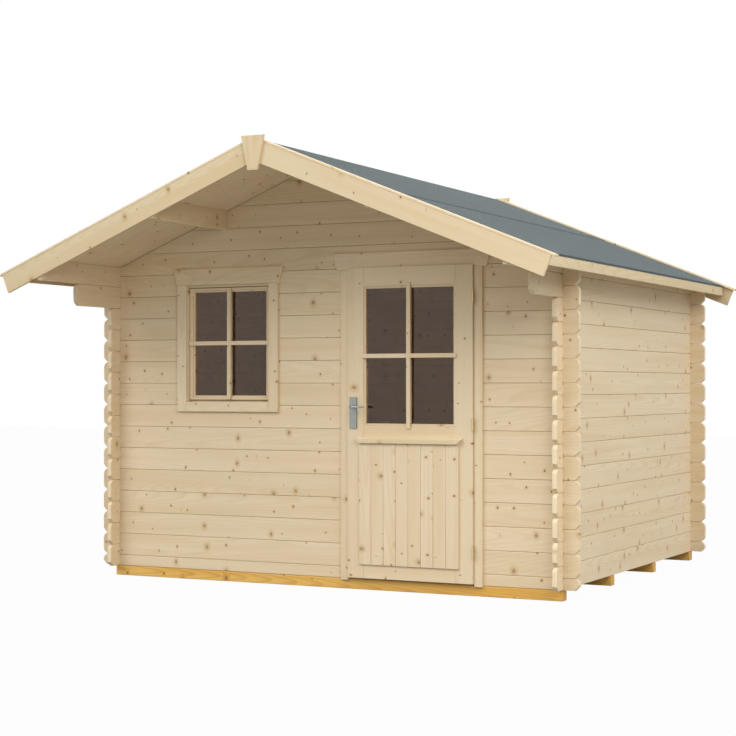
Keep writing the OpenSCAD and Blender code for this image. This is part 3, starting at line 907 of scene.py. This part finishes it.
# %% [markdown]
# ## Roof trim
#
# Barge boards close the roof at the front and rear, a cover strip on their top
# edge holds the felt down, and a ridge piece hides the mitre where two of them
# meet. The eaves boards close the ends of the roof boards. These are the
# lightest boards of the house, because nothing shades them.

# %% Barge boards
barge = span("barge_board_front_right")
BARGE_H = 117
STRIP_T, STRIP_GAP, STRIP_LIFT, MITRE = 10, 2, 0.4, 0.3
NOSE = 4  # how far a cover strip hangs over the face of the barge board
TRIM_SHADE, TRIM_EASE = -3.0, 2.2


def sloping(x0, x1, rise, depth):
    """A board on edge along the slope, its top edge at a rise over the roof boards' underside."""
    return [(x0, APEX + rise - x0 * SLOPE - depth / math.cos(PITCH)),
            (x1 - depth * math.sin(PITCH), under(x1) + rise - depth * math.cos(PITCH)),
            (x1, under(x1) + rise), (x0, APEX + rise - x0 * SLOPE)]


def barge_boards(end, first_seed):
    for i, (side, hand) in enumerate(HANDS):
        node = f"barge_board_{end}_{hand}"
        board = one_board(first_seed + i, sloping(MITRE, barge.x1, FELT_TOP - NOSE, BARGE_H - NOSE),
                          barge.depth, roof_place(span(node).y0, side), TRIM_SHADE,
                          turn=-PITCH, ease=TRIM_EASE, corners=True)
        fit(board, f"{end}_barge_{hand}", node)


barge_boards("front", 91)
barge_boards("rear", 101)


# %% Cover strips and eaves boards
def cover_strips(end, seed):
    room = span(f"cover_strips_{end}")
    pile = Pile(seed)
    rise = FELT_TOP + LAY + STRIP_T / math.cos(PITCH)
    for side, _ in HANDS:
        pile.add(sloping(STRIP_GAP, room.x1, rise, STRIP_T + NOSE - STRIP_LIFT), room.depth,
                 roof_place(room.y0, side), grain="prq", ease=3.0, corners=True)
    fit(pile, f"{end}_cover_strips", f"cover_strips_{end}")


def eaves_board(side, hand, seed):
    node = f"fascia_{hand}"
    fit(long_board(seed, side, node, roof_v, TRIM_EASE, TRIM_SHADE), f"eaves_board_{hand}", node)


cover_strips("front", 111)
cover_strips("rear", 112)
on_both_sides(eaves_board, 113)

# %% Ridge pieces
KEY_FOOT = 61 / 2


def ridge_piece(end, seed):
    room = span(f"ridge_piece_{end}")
    outline = [(-KEY_FOOT, room.z0), (KEY_FOOT, room.z0), (room.x1, room.z1), (room.x0, room.z1)]
    board = one_board(seed, outline, room.depth, upright(room.y0), TRIM_SHADE,
                      grain="qpr", ease=TRIM_EASE)
    fit(board, f"{end}_ridge_piece", f"ridge_piece_{end}")


ridge_piece("front", 115)
ridge_piece("rear", 116)

# %% [markdown]
# ## Window
#
# The window is a fixed frame of four members set in the wall, with a sash of
# two stiles and two rails inside it. Small beads hold the pane, and a cross of
# glazing bars lies over the glass and runs a little way onto the sash, so that
# one pane looks like four.

# %% Rings of four members
BUTT, SKIN, JOINT = 0.3, 0.2, 0.4  # gaps of butted ends, of layers, and of edges side by side


def ring(pile, room, width, y0, y1, ease=1.5, foot_y=None):
    """Two uprights with two rails between them, inside a box; the lower rail may start deeper."""
    for x in (room.x0, room.x1 - width):
        box_board(pile, x, x + width, y0, y1, room.z0, room.z1, "qpr", ease)
    for z, front_y in ((room.z0, foot_y or y0), (room.z1 - width, y0)):
        box_board(pile, room.x0 + width + BUTT, room.x1 - width - BUTT, front_y, y1,
                  z, z + width, "pqr", ease)


def inset(room, x, z):
    """A smaller box inside another, in x and z."""
    return SimpleNamespace(x0=room.x0 + x, x1=room.x1 - x, z0=room.z0 + z, z1=room.z1 - z)


def beads(pile, light, holder, front_set, pane):
    """Beads in front of and behind a pane, round its opening in a sash or leaf."""
    around = inset(light, -BEAD, -BEAD)
    ring(pile, around, BEAD, holder.y0 + front_set, pane.y0 - SKIN, ease=1.8)
    ring(pile, around, BEAD, pane.y1 + SKIN, holder.y1 - BEAD_BACK, ease=1.8)


# %% Window frame and sash
REBATE, FOOT_SET = 28, 12
STILE, RAIL, BEAD, BEAD_BACK = 36, 29, 12, 3
SASH_GAP, SASH_LIP = 3.2, 20  # the gap round the sash, and how deep it goes
casing, sash, window_pane = (span("window_" + part) for part in ("frame", "sash", "glass"))
frame_pile = Pile(121)
ring(frame_pile, casing, REBATE, casing.y0 + SKIN, casing.y1, foot_y=sash.y0 + FOOT_SET)
fit(frame_pile, "window_casing", "window_frame")

window_light = inset(sash, STILE, RAIL)
sash_pile = Pile(122)
lip_y = sash.y0 + SASH_LIP
for gap, y0, y1 in ((SASH_GAP, sash.y0, lip_y), (JOINT, lip_y, sash.y1)):
    x_in0, x_in1 = sash.x0 + STILE - BEAD, sash.x1 - STILE + BEAD
    for x0, x1 in ((sash.x0 + gap, x_in0), (x_in1, sash.x1 - gap)):
        box_board(sash_pile, x0, x1, y0, y1, sash.z0 + gap, sash.z1 - gap, "qpr", 1.6)
    for z0, z1 in ((sash.z0 + gap, sash.z0 + RAIL - BEAD), (sash.z1 - RAIL + BEAD, sash.z1 - gap)):
        box_board(sash_pile, x_in0, x_in1, y0, y1, z0, z1, "pqr", 1.6)
beads(sash_pile, window_light, sash, 7, window_pane)
fit(sash_pile, "window_sash_joinery", "window_sash")
print("pane opening", round(window_light.x1 - window_light.x0), "by",
      round(window_light.z1 - window_light.z0))

# %% [markdown]
# ## Glazing bars
#
# A bar is a flat strip that lies proud of the sash, with a narrower strip
# behind it that reaches the glass. The upright bar runs through and the level
# bar is cut to it on both sides, as a joiner halves or butts them.

# %% Glazing bars
BAR, BAR_NECK = 25, 19


def middle(low, high):
    return (low + high) / 2


def glazing_bars(pile, light, y_face, proud, y_glass, up, down, side, level_z):
    """A cross of bars: how far its ends run past the opening, and the level bar's height."""
    x, y_back = middle(light.x0, light.x1), y_face - SKIN
    bar = SimpleNamespace(half=BAR / 2, y0=y_face - proud, y1=y_back, ease=1.8, gap=SKIN,
                          up=up, down=down, side=side)
    neck = SimpleNamespace(half=BAR_NECK / 2, y0=y_back, y1=y_glass, ease=1.0, gap=0,
                           up=-0.5, down=-0.5, side=-0.5)
    for b in (bar, neck):
        box_board(pile, x - b.half, x + b.half, b.y0, b.y1, light.z0 - b.down, light.z1 + b.up,
                  "qpr", b.ease)
    for on_left in (True, False):
        for b in (bar, neck):
            x0, x1 = ((light.x0 - b.side, x - b.half - b.gap) if on_left
                      else (x + b.half + b.gap, light.x1 + b.side))
            box_board(pile, x0, x1, b.y0, b.y1, level_z - b.half, level_z + b.half, "pqr", b.ease)


window_bars = Pile(123)
glazing_bars(window_bars, window_light, sash.y0, 12, window_pane.y0 - BUTT, up=24, down=22, side=32,
             level_z=middle(window_light.z0, window_light.z1) + 3)
fit(window_bars, "window_glazing_bars")

# %% [markdown]
# ## Trims round the openings
#
# Flat trims cover the gap between frame and logs. The head trims widen towards
# the top, which is the only ornament of the house. All of them are planed
# boards with eased edges.

# %% Trims
HEAD_FLARE = 26
WINDOW_TRIM_W, DOOR_TRIM_W = 64, 45
LEAF_GAP, TRIM_LIP = 6.5, 4.0  # the door's running gap, and how much of it the trim covers


def flared(room, flare):
    """A trapezium that fills a box and is narrower at its foot."""
    return [(room.x0 + flare, room.z0), (room.x1 - flare, room.z0),
            (room.x1, room.z1), (room.x0, room.z1)]


def head_trim(name, node, seed, cut=None):
    """A flared head; a cut of half a width and a depth makes room under it."""
    room = span(node)
    outline = flared(room, HEAD_FLARE)
    if cut:
        half, depth = cut
        x, z = middle(room.x0, room.x1), room.z0
        outline[1:1] = [(x - half, z), (x - half, z + depth), (x + half, z + depth), (x + half, z)]
    fit(one_board(seed, outline, room.depth, upright(room.y0), ease=TRIM_EASE, corners=not cut),
        name, node)


def side_trims(name, node, width, seed, lip=0.0):
    """Two upright trims; a lip widens them towards the middle."""
    room = span(node)
    pile = Pile(seed)
    for x in (room.x0, room.x1 - width - lip):
        box_board(pile, x, x + width + lip, room.y0, room.y1, room.z0, room.z1 - BUTT, "qpr", 1.4)
    fit(pile, name, node)


head_trim("window_head_board", "window_head_trim", 131)
side_trims("window_side_boards", "window_side_trims", WINDOW_TRIM_W, 132)
sill = span("window_sill_trim")
sill_pile = Pile(133)
box_board(sill_pile, sill.x0 + BUTT, sill.x1 - BUTT, sill.y0, sill.y1, sill.z0, sill.z1,
          "pqr", TRIM_EASE)
fit(sill_pile, "window_sill_board", "window_sill_trim")
leaf = span("door_leaf_frame")
head_trim("door_head_board", "door_head_trim", 134,
          cut=((leaf.x1 - leaf.x0) / 2 + LEAF_GAP - TRIM_LIP,
               leaf.z1 + LEAF_GAP - TRIM_LIP - span("door_head_trim").z0))
side_trims("door_side_boards", "door_side_trims", DOOR_TRIM_W, 135, TRIM_LIP)

# %% [markdown]
# ## Door frame
#
# The door frame has two jambs and a head, rebated so that the leaf closes
# against a stop, and a low threshold between the jambs.

# %% Door frame
lining = span("door_frame")
STOP_Y = leaf.y1 + LEAF_GAP
JAMB, DOOR_REBATE, LINING_EASE = 40, 22, 0.8
jambs = Pile(141)
half = (lining.x1 - lining.x0) / 2
door_x, top = middle(lining.x0, lining.x1), lining.z1
section = [(half - DOOR_REBATE, 0), (half, 0), (half, WALL_T), (half - JAMB, WALL_T),
           (half - JAMB, STOP_Y), (half - DOOR_REBATE, STOP_Y)]
for side, _ in HANDS:
    jambs.add(section, lining.z1 - lining.z0,
              lambda p, q, r: (door_x + side * p, q + SKIN, lining.z0 + r),
              grain="rpq", ease=LINING_EASE, corners=True)
head_section = [(0, top - DOOR_REBATE), (STOP_Y, top - DOOR_REBATE), (STOP_Y, top - JAMB),
                (WALL_T, top - JAMB), (WALL_T, top), (0, top)]
jambs.add(head_section, 2 * (half - DOOR_REBATE) - 2 * BUTT,
          lambda p, q, r: (door_x - half + DOOR_REBATE + BUTT + r, p + SKIN, q),
          grain="rqp", ease=LINING_EASE, corners=True)
fit(jambs, "door_lining", "door_frame")
step = span("door_threshold")
threshold = Pile(142)
box_board(threshold, step.x0, step.x1, step.y0, step.y1, step.z0, step.z1, "pqr", 3.0)
fit(threshold, "threshold_board", "door_threshold")

# %% [markdown]
# ## Door leaf
#
# The leaf is framed: two stiles, three rails, a glazed upper half with beads,
# and a lower half that is covered with upright matchboards under a weather
# bar. The matchboards are one board repeated.

# %% Door leaf frame
DOOR_STILE, TOP_RAIL, LOCK_RAIL, BOTTOM_RAIL = 106, 109, 131, 110
INNER_BOARDS, INNER_SET = 6, 19.2
PANE_IN = 8  # how far the pane reaches under its beads
door_pane = span("door_glass")
door_light = inset(door_pane, PANE_IN, PANE_IN)
x_left, x_right = leaf.x0 + DOOR_STILE + BUTT, leaf.x1 - DOOR_STILE - BUTT
door_pile = Pile(151)
for x in (leaf.x0, leaf.x1 - DOOR_STILE):
    box_board(door_pile, x, x + DOOR_STILE, leaf.y0, leaf.y1, leaf.z0, leaf.z1, "qpr", 1.2)
for z0, z1 in ((leaf.z1 - TOP_RAIL, leaf.z1), (door_light.z0 - LOCK_RAIL, door_light.z0 - BEAD),
               (leaf.z0, leaf.z0 + BOTTOM_RAIL)):
    box_board(door_pile, x_left, x_right, leaf.y0, leaf.y1, z0, z1, "pqr", 1.6)
beads(door_pile, door_light, leaf, 5, door_pane)
inner_w = (x_right - x_left) / INNER_BOARDS
for i in range(INNER_BOARDS):
    box_board(door_pile, x_left + i * inner_w, x_left + (i + 1) * inner_w - JOINT,
              leaf.y0 + INNER_SET, leaf.y1 - 2,
              leaf.z0 + BOTTOM_RAIL + BUTT, door_light.z0 - LOCK_RAIL - BUTT, "qpr", 1.6)
fit(door_pile, "door_leaf_joinery", "door_leaf_frame", body="door")

# %% Matchboards
MATCHBOARDS, MATCH_SPREAD = 8, 0.4
panel = span("door_panel")
match_w = (panel.x1 - panel.x0) / MATCHBOARDS
match_pile = Pile(161)
box_board(match_pile, panel.x0, panel.x0 + match_w - 0.6, panel.y0, leaf.y0 - SKIN,
          panel.z0, panel.z1 - BUTT, "qpr", 2.6)
fit(match_pile, "door_matchboards", "door_panel", body="door",
    copies=(MATCHBOARDS, (match_w, 0, 0), 16, SPRUCE, MATCH_SPREAD))

# %% Weather bar and glazing bars
DRIP_FALL, DRIP_FLARE = 9, 27
drip = span("door_drip_rail")


def weathered(p, q, r):
    """Lets the top of the bar fall towards its front."""
    falls = q > middle(drip.z0, drip.z1)
    return p, q - (DRIP_FALL * (1 - r / drip.depth) if falls else 0), r


weather_bar = one_board(171, flared(drip, DRIP_FLARE), drip.depth - SKIN, upright(drip.y0),
                        ease=2.4, corners=True, shape=weathered)
fit(weather_bar, "door_weather_bar", "door_drip_rail", body="door")

door_bars = Pile(172)
glazing_bars(door_bars, door_light, leaf.y0, 10, door_pane.y0 - BUTT, up=29, down=27, side=22,
             level_z=middle(door_light.z0, door_light.z1))
fit(door_bars, "door_glazing_bars", body="door")

# %% [markdown]
# ## Panes and hinges
#
# The CAD already has the right shape for the two panes and for the hinge
# knuckles, so they stay and only get their finish.

# %% Finishes on the CAD's own nodes
for node, finish in (("window_glass", PANE), ("door_glass", PANE),
                     ("door_hinges_frame", STEEL), ("door_hinges_leaf", STEEL)):
    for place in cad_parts[node].material_slots:
        place.material = finish
    print(node, "finished with", finish.name)

# %% [markdown]
# ## Door handle
#
# On each face of the leaf is a long plate with rounded corners and a keyhole.
# The lever is drawn as one rod that leaves the plate, turns a tight corner
# and tapers towards its rounded end, so it is swept along a path.

# %% Handle plates
PLATE_T, PLATE_ROUND = 8, 5
AXIS_BELOW_TOP, KEY_BELOW_AXIS = 57, 72
handle = span("door_handle_plates")
PLATE_X = middle(handle.x0, handle.x1)
LEVER_Z = handle.z1 - AXIS_BELOW_TOP


def arc(x, z, radius, first, turn, steps):
    """Points on a circle from a first angle through a turn."""
    angles = [first + turn * i / steps for i in range(steps + 1)]
    return [(x + radius * math.cos(a), z + radius * math.sin(a)) for a in angles]


def rounded(room, radius):
    """A rectangle of x and z with round corners."""
    inner = inset(room, radius, radius)
    corners = ((inner.x1, inner.z0), (inner.x1, inner.z1), (inner.x0, inner.z1), (inner.x0, inner.z0))
    return [point for i, (x, z) in enumerate(corners)
            for point in arc(x, z, radius, math.radians(90 * (i - 1)), math.pi / 2, 5)]


def keyhole(x, z, radius=4.0, slot=1.8, drop=12):
    """The outline of a keyhole: a round hole over a slot."""
    lowest = math.asin(slot / radius)
    hole = arc(x, z, radius, lowest - math.pi / 2, 2 * math.pi - 2 * lowest, 16)
    return [(x + slot, z - drop)] + hole + [(x - slot, z - drop)]


plates = Pile(181)
for y in (handle.y0, handle.y1 - PLATE_T):
    plates.add(rounded(handle, PLATE_ROUND), PLATE_T, upright(y), ease=1.8)
plates = plates.piece("handle_plates", HANDLE)
cutter = Pile(182)
cutter.add(keyhole(PLATE_X, LEVER_Z - KEY_BELOW_AXIS), handle.depth + PLATE_T,
           upright(handle.y0 - PLATE_T / 2), ease=0)
cutter = cutter.piece("keyhole_cutter", HANDLE)
carve = plates.modifiers.new("keyhole", "BOOLEAN")
carve.operation, carve.solver, carve.object = "DIFFERENCE", "EXACT", cutter
seen = plates.evaluated_get(bpy.context.evaluated_depsgraph_get())
carved = bpy.data.meshes.new_from_object(seen)
plates.modifiers.clear()
plates.data = carved
bpy.data.objects.remove(cutter)
settle(plates, "door", "handle_metal", "door_handle_plates")

# %% Lever
NECK, REACH, OFF = 16, 88, 50
ELBOW, ELBOW_STEPS, ARM_STEPS = 13, 8, 10
ARM_W, ARM_H, END_W, END_H = 12, 15, 9.5, 12
DROOP, TIP = 3.5, 4
AROUND = 20


def sweep(verts, faces, path):
    """A closed rod through (x, y, width, height) rings in a level plane."""
    base = len(verts)
    for i, (x, y, width, height) in enumerate(path):
        ahead, behind = path[min(i + 1, len(path) - 1)], path[max(i - 1, 0)]
        run = Vector((ahead[0] - behind[0], ahead[1] - behind[1])).normalized()
        for k in range(AROUND):
            a = 2 * math.pi * k / AROUND
            out = width / 2 * math.cos(a)
            verts.append(in_model(x - run.y * out, y + run.x * out, LEVER_Z + height / 2 * math.sin(a)))
    for i in range(len(path) - 1):
        for k in range(AROUND):
            a, b = base + i * AROUND + k, base + i * AROUND + (k + 1) % AROUND
            faces.append((a, b, b + AROUND, a + AROUND))
    faces.append([base + k for k in reversed(range(AROUND))])
    faces.append([len(verts) - AROUND + k for k in range(AROUND)])


def lever_path(face_y, out):
    """The middle line of one lever, from the leaf's face outwards."""
    bend_y = face_y + out * (OFF - ELBOW)
    path = [(PLATE_X, face_y, NECK, NECK), (PLATE_X, bend_y, NECK, NECK)]
    for i in range(1, ELBOW_STEPS + 1):
        t = i / ELBOW_STEPS
        a = math.pi / 2 * t
        path.append((PLATE_X + ELBOW * (1 - math.cos(a)),
                     face_y + out * (OFF - ELBOW + ELBOW * math.sin(a)),
                     NECK + (ARM_W - NECK) * t, NECK + (ARM_H - NECK) * t))
    for i in range(1, ARM_STEPS + 1):
        t = i / ARM_STEPS
        path.append((PLATE_X + ELBOW + (REACH - ELBOW - TIP) * t, face_y + out * (OFF - DROOP * t * t),
                     ARM_W + (END_W - ARM_W) * t, ARM_H + (END_H - ARM_H) * t))
    for shrink, step_x in ((0.86, 2.0), (0.6, 3.3), (0.25, TIP)):
        path.append((PLATE_X + REACH - TIP + step_x, face_y + out * (OFF - DROOP - 0.1),
                     END_W * shrink, END_H * shrink))
    return path


lever_verts, lever_faces = [], []
for face_y, out in ((leaf.y0 - 0.5, -1), (leaf.y1 + 0.5, 1)):
    sweep(lever_verts, lever_faces, lever_path(face_y, out))
sweep(lever_verts, lever_faces, [(PLATE_X, leaf.y0 - 0.6, 12, 12), (PLATE_X, leaf.y1 + 0.6, 12, 12)])
lever_mesh = bpy.data.meshes.new("lever_rods")
lever_mesh.from_pydata(lever_verts, [], lever_faces)
shell = bmesh.new()
shell.from_mesh(lever_mesh)
bmesh.ops.recalc_face_normals(shell, faces=shell.faces)
shell.to_mesh(lever_mesh)
shell.free()
lever_mesh.materials.append(HANDLE)
lever_mesh.shade_smooth()
lever_mesh.set_sharp_from_angle(angle=math.radians(45))
settle(add_object("lever_rods", lever_mesh), "lever", "handle_metal", "door_lever")

# %% [markdown]
# ## Ground and light
#
# The house stands in a bright, empty studio. A broad key light comes from the
# front and above, a second from the right, and a weak one from behind lifts
# the felt. A soft lamp at the front right fills the eaves, and the room itself
# gives even light, so the deep roof shades only the top of the front wall. The
# floor and the room are white to the eye only, so that white lights nothing.

# %% Ground
FLOOR_HALF, FLOOR_GLOW = 30, 0.97


def only_seen(tree):
    """1 for what is looked at, in a mirror or through glass too; 0 for light that bounces."""
    ray = make(tree, "ShaderNodeLightPath", out="Is Camera Ray")
    return (ray + ray.out("Is Glossy Ray") + ray.out("Is Transmission Ray")).clamp()


ground_mesh = bpy.data.meshes.new("ground")
corners = rectangle(-FLOOR_HALF, FLOOR_HALF, -FLOOR_HALF, FLOOR_HALF)
ground_mesh.from_pydata([(x, y, 0) for x, y in corners], [], [(0, 1, 2, 3)])
ground = add_object("ground", ground_mesh)
ground_finish, tree = new_finish("pale_floor")
matt = make(tree, "ShaderNodeBsdfDiffuse", {"Color": (0.32, 0.32, 0.32, 1)})
glow = make(tree, "ShaderNodeEmission", {"Color": (1, 1, 1, 1), "Strength": 1.0})
floor = make(tree, "ShaderNodeMixShader", {0: only_seen(tree) * FLOOR_GLOW, 1: matt, 2: glow})
make(tree, "ShaderNodeOutputMaterial", {"Surface": floor})
ground_mesh.materials.append(ground_finish)

# %% Light
ROOM_LIGHT = 0.42
world = bpy.data.worlds.new("studio")
bpy.context.scene.world = world
world.use_nodes = True
tree = world.node_tree
tree.nodes.clear()
seen = only_seen(tree)
sky = make(tree, "ShaderNodeBackground",
           {"Color": (1, 1, 1, 1), "Strength": seen + (1 - seen) * ROOM_LIGHT})
make(tree, "ShaderNodeOutputWorld", {"Surface": sky})


def broad_light(name, height, turn, strength, softness):
    """A very soft sun: height and turn say where it comes from, in degrees."""
    lamp = bpy.data.lights.new(name, "SUN")
    lamp.energy, lamp.angle = strength, math.radians(softness)
    add_object(name, lamp).rotation_euler = (math.radians(90 - height), 0, math.radians(turn))


broad_light("key_light", 38, -30, 1.42, 45)
broad_light("side_light", 42, 74, 1.5, 60)
broad_light("back_light", 38, 205, 0.9, 60)
lamp = bpy.data.lights.new("fill_light", "AREA")
lamp.energy, lamp.size = 95, 2.5
fill = add_object("fill_light", lamp)
fill.location = (4.5, -5.5, 4.2)
fill.rotation_euler = (Vector((0.4, 0, 1.2)) - fill.location).to_track_quat("-Z", "Y").to_euler()
bpy.context.scene.view_settings.view_transform = "Standard"
print("room light", ROOM_LIGHT)
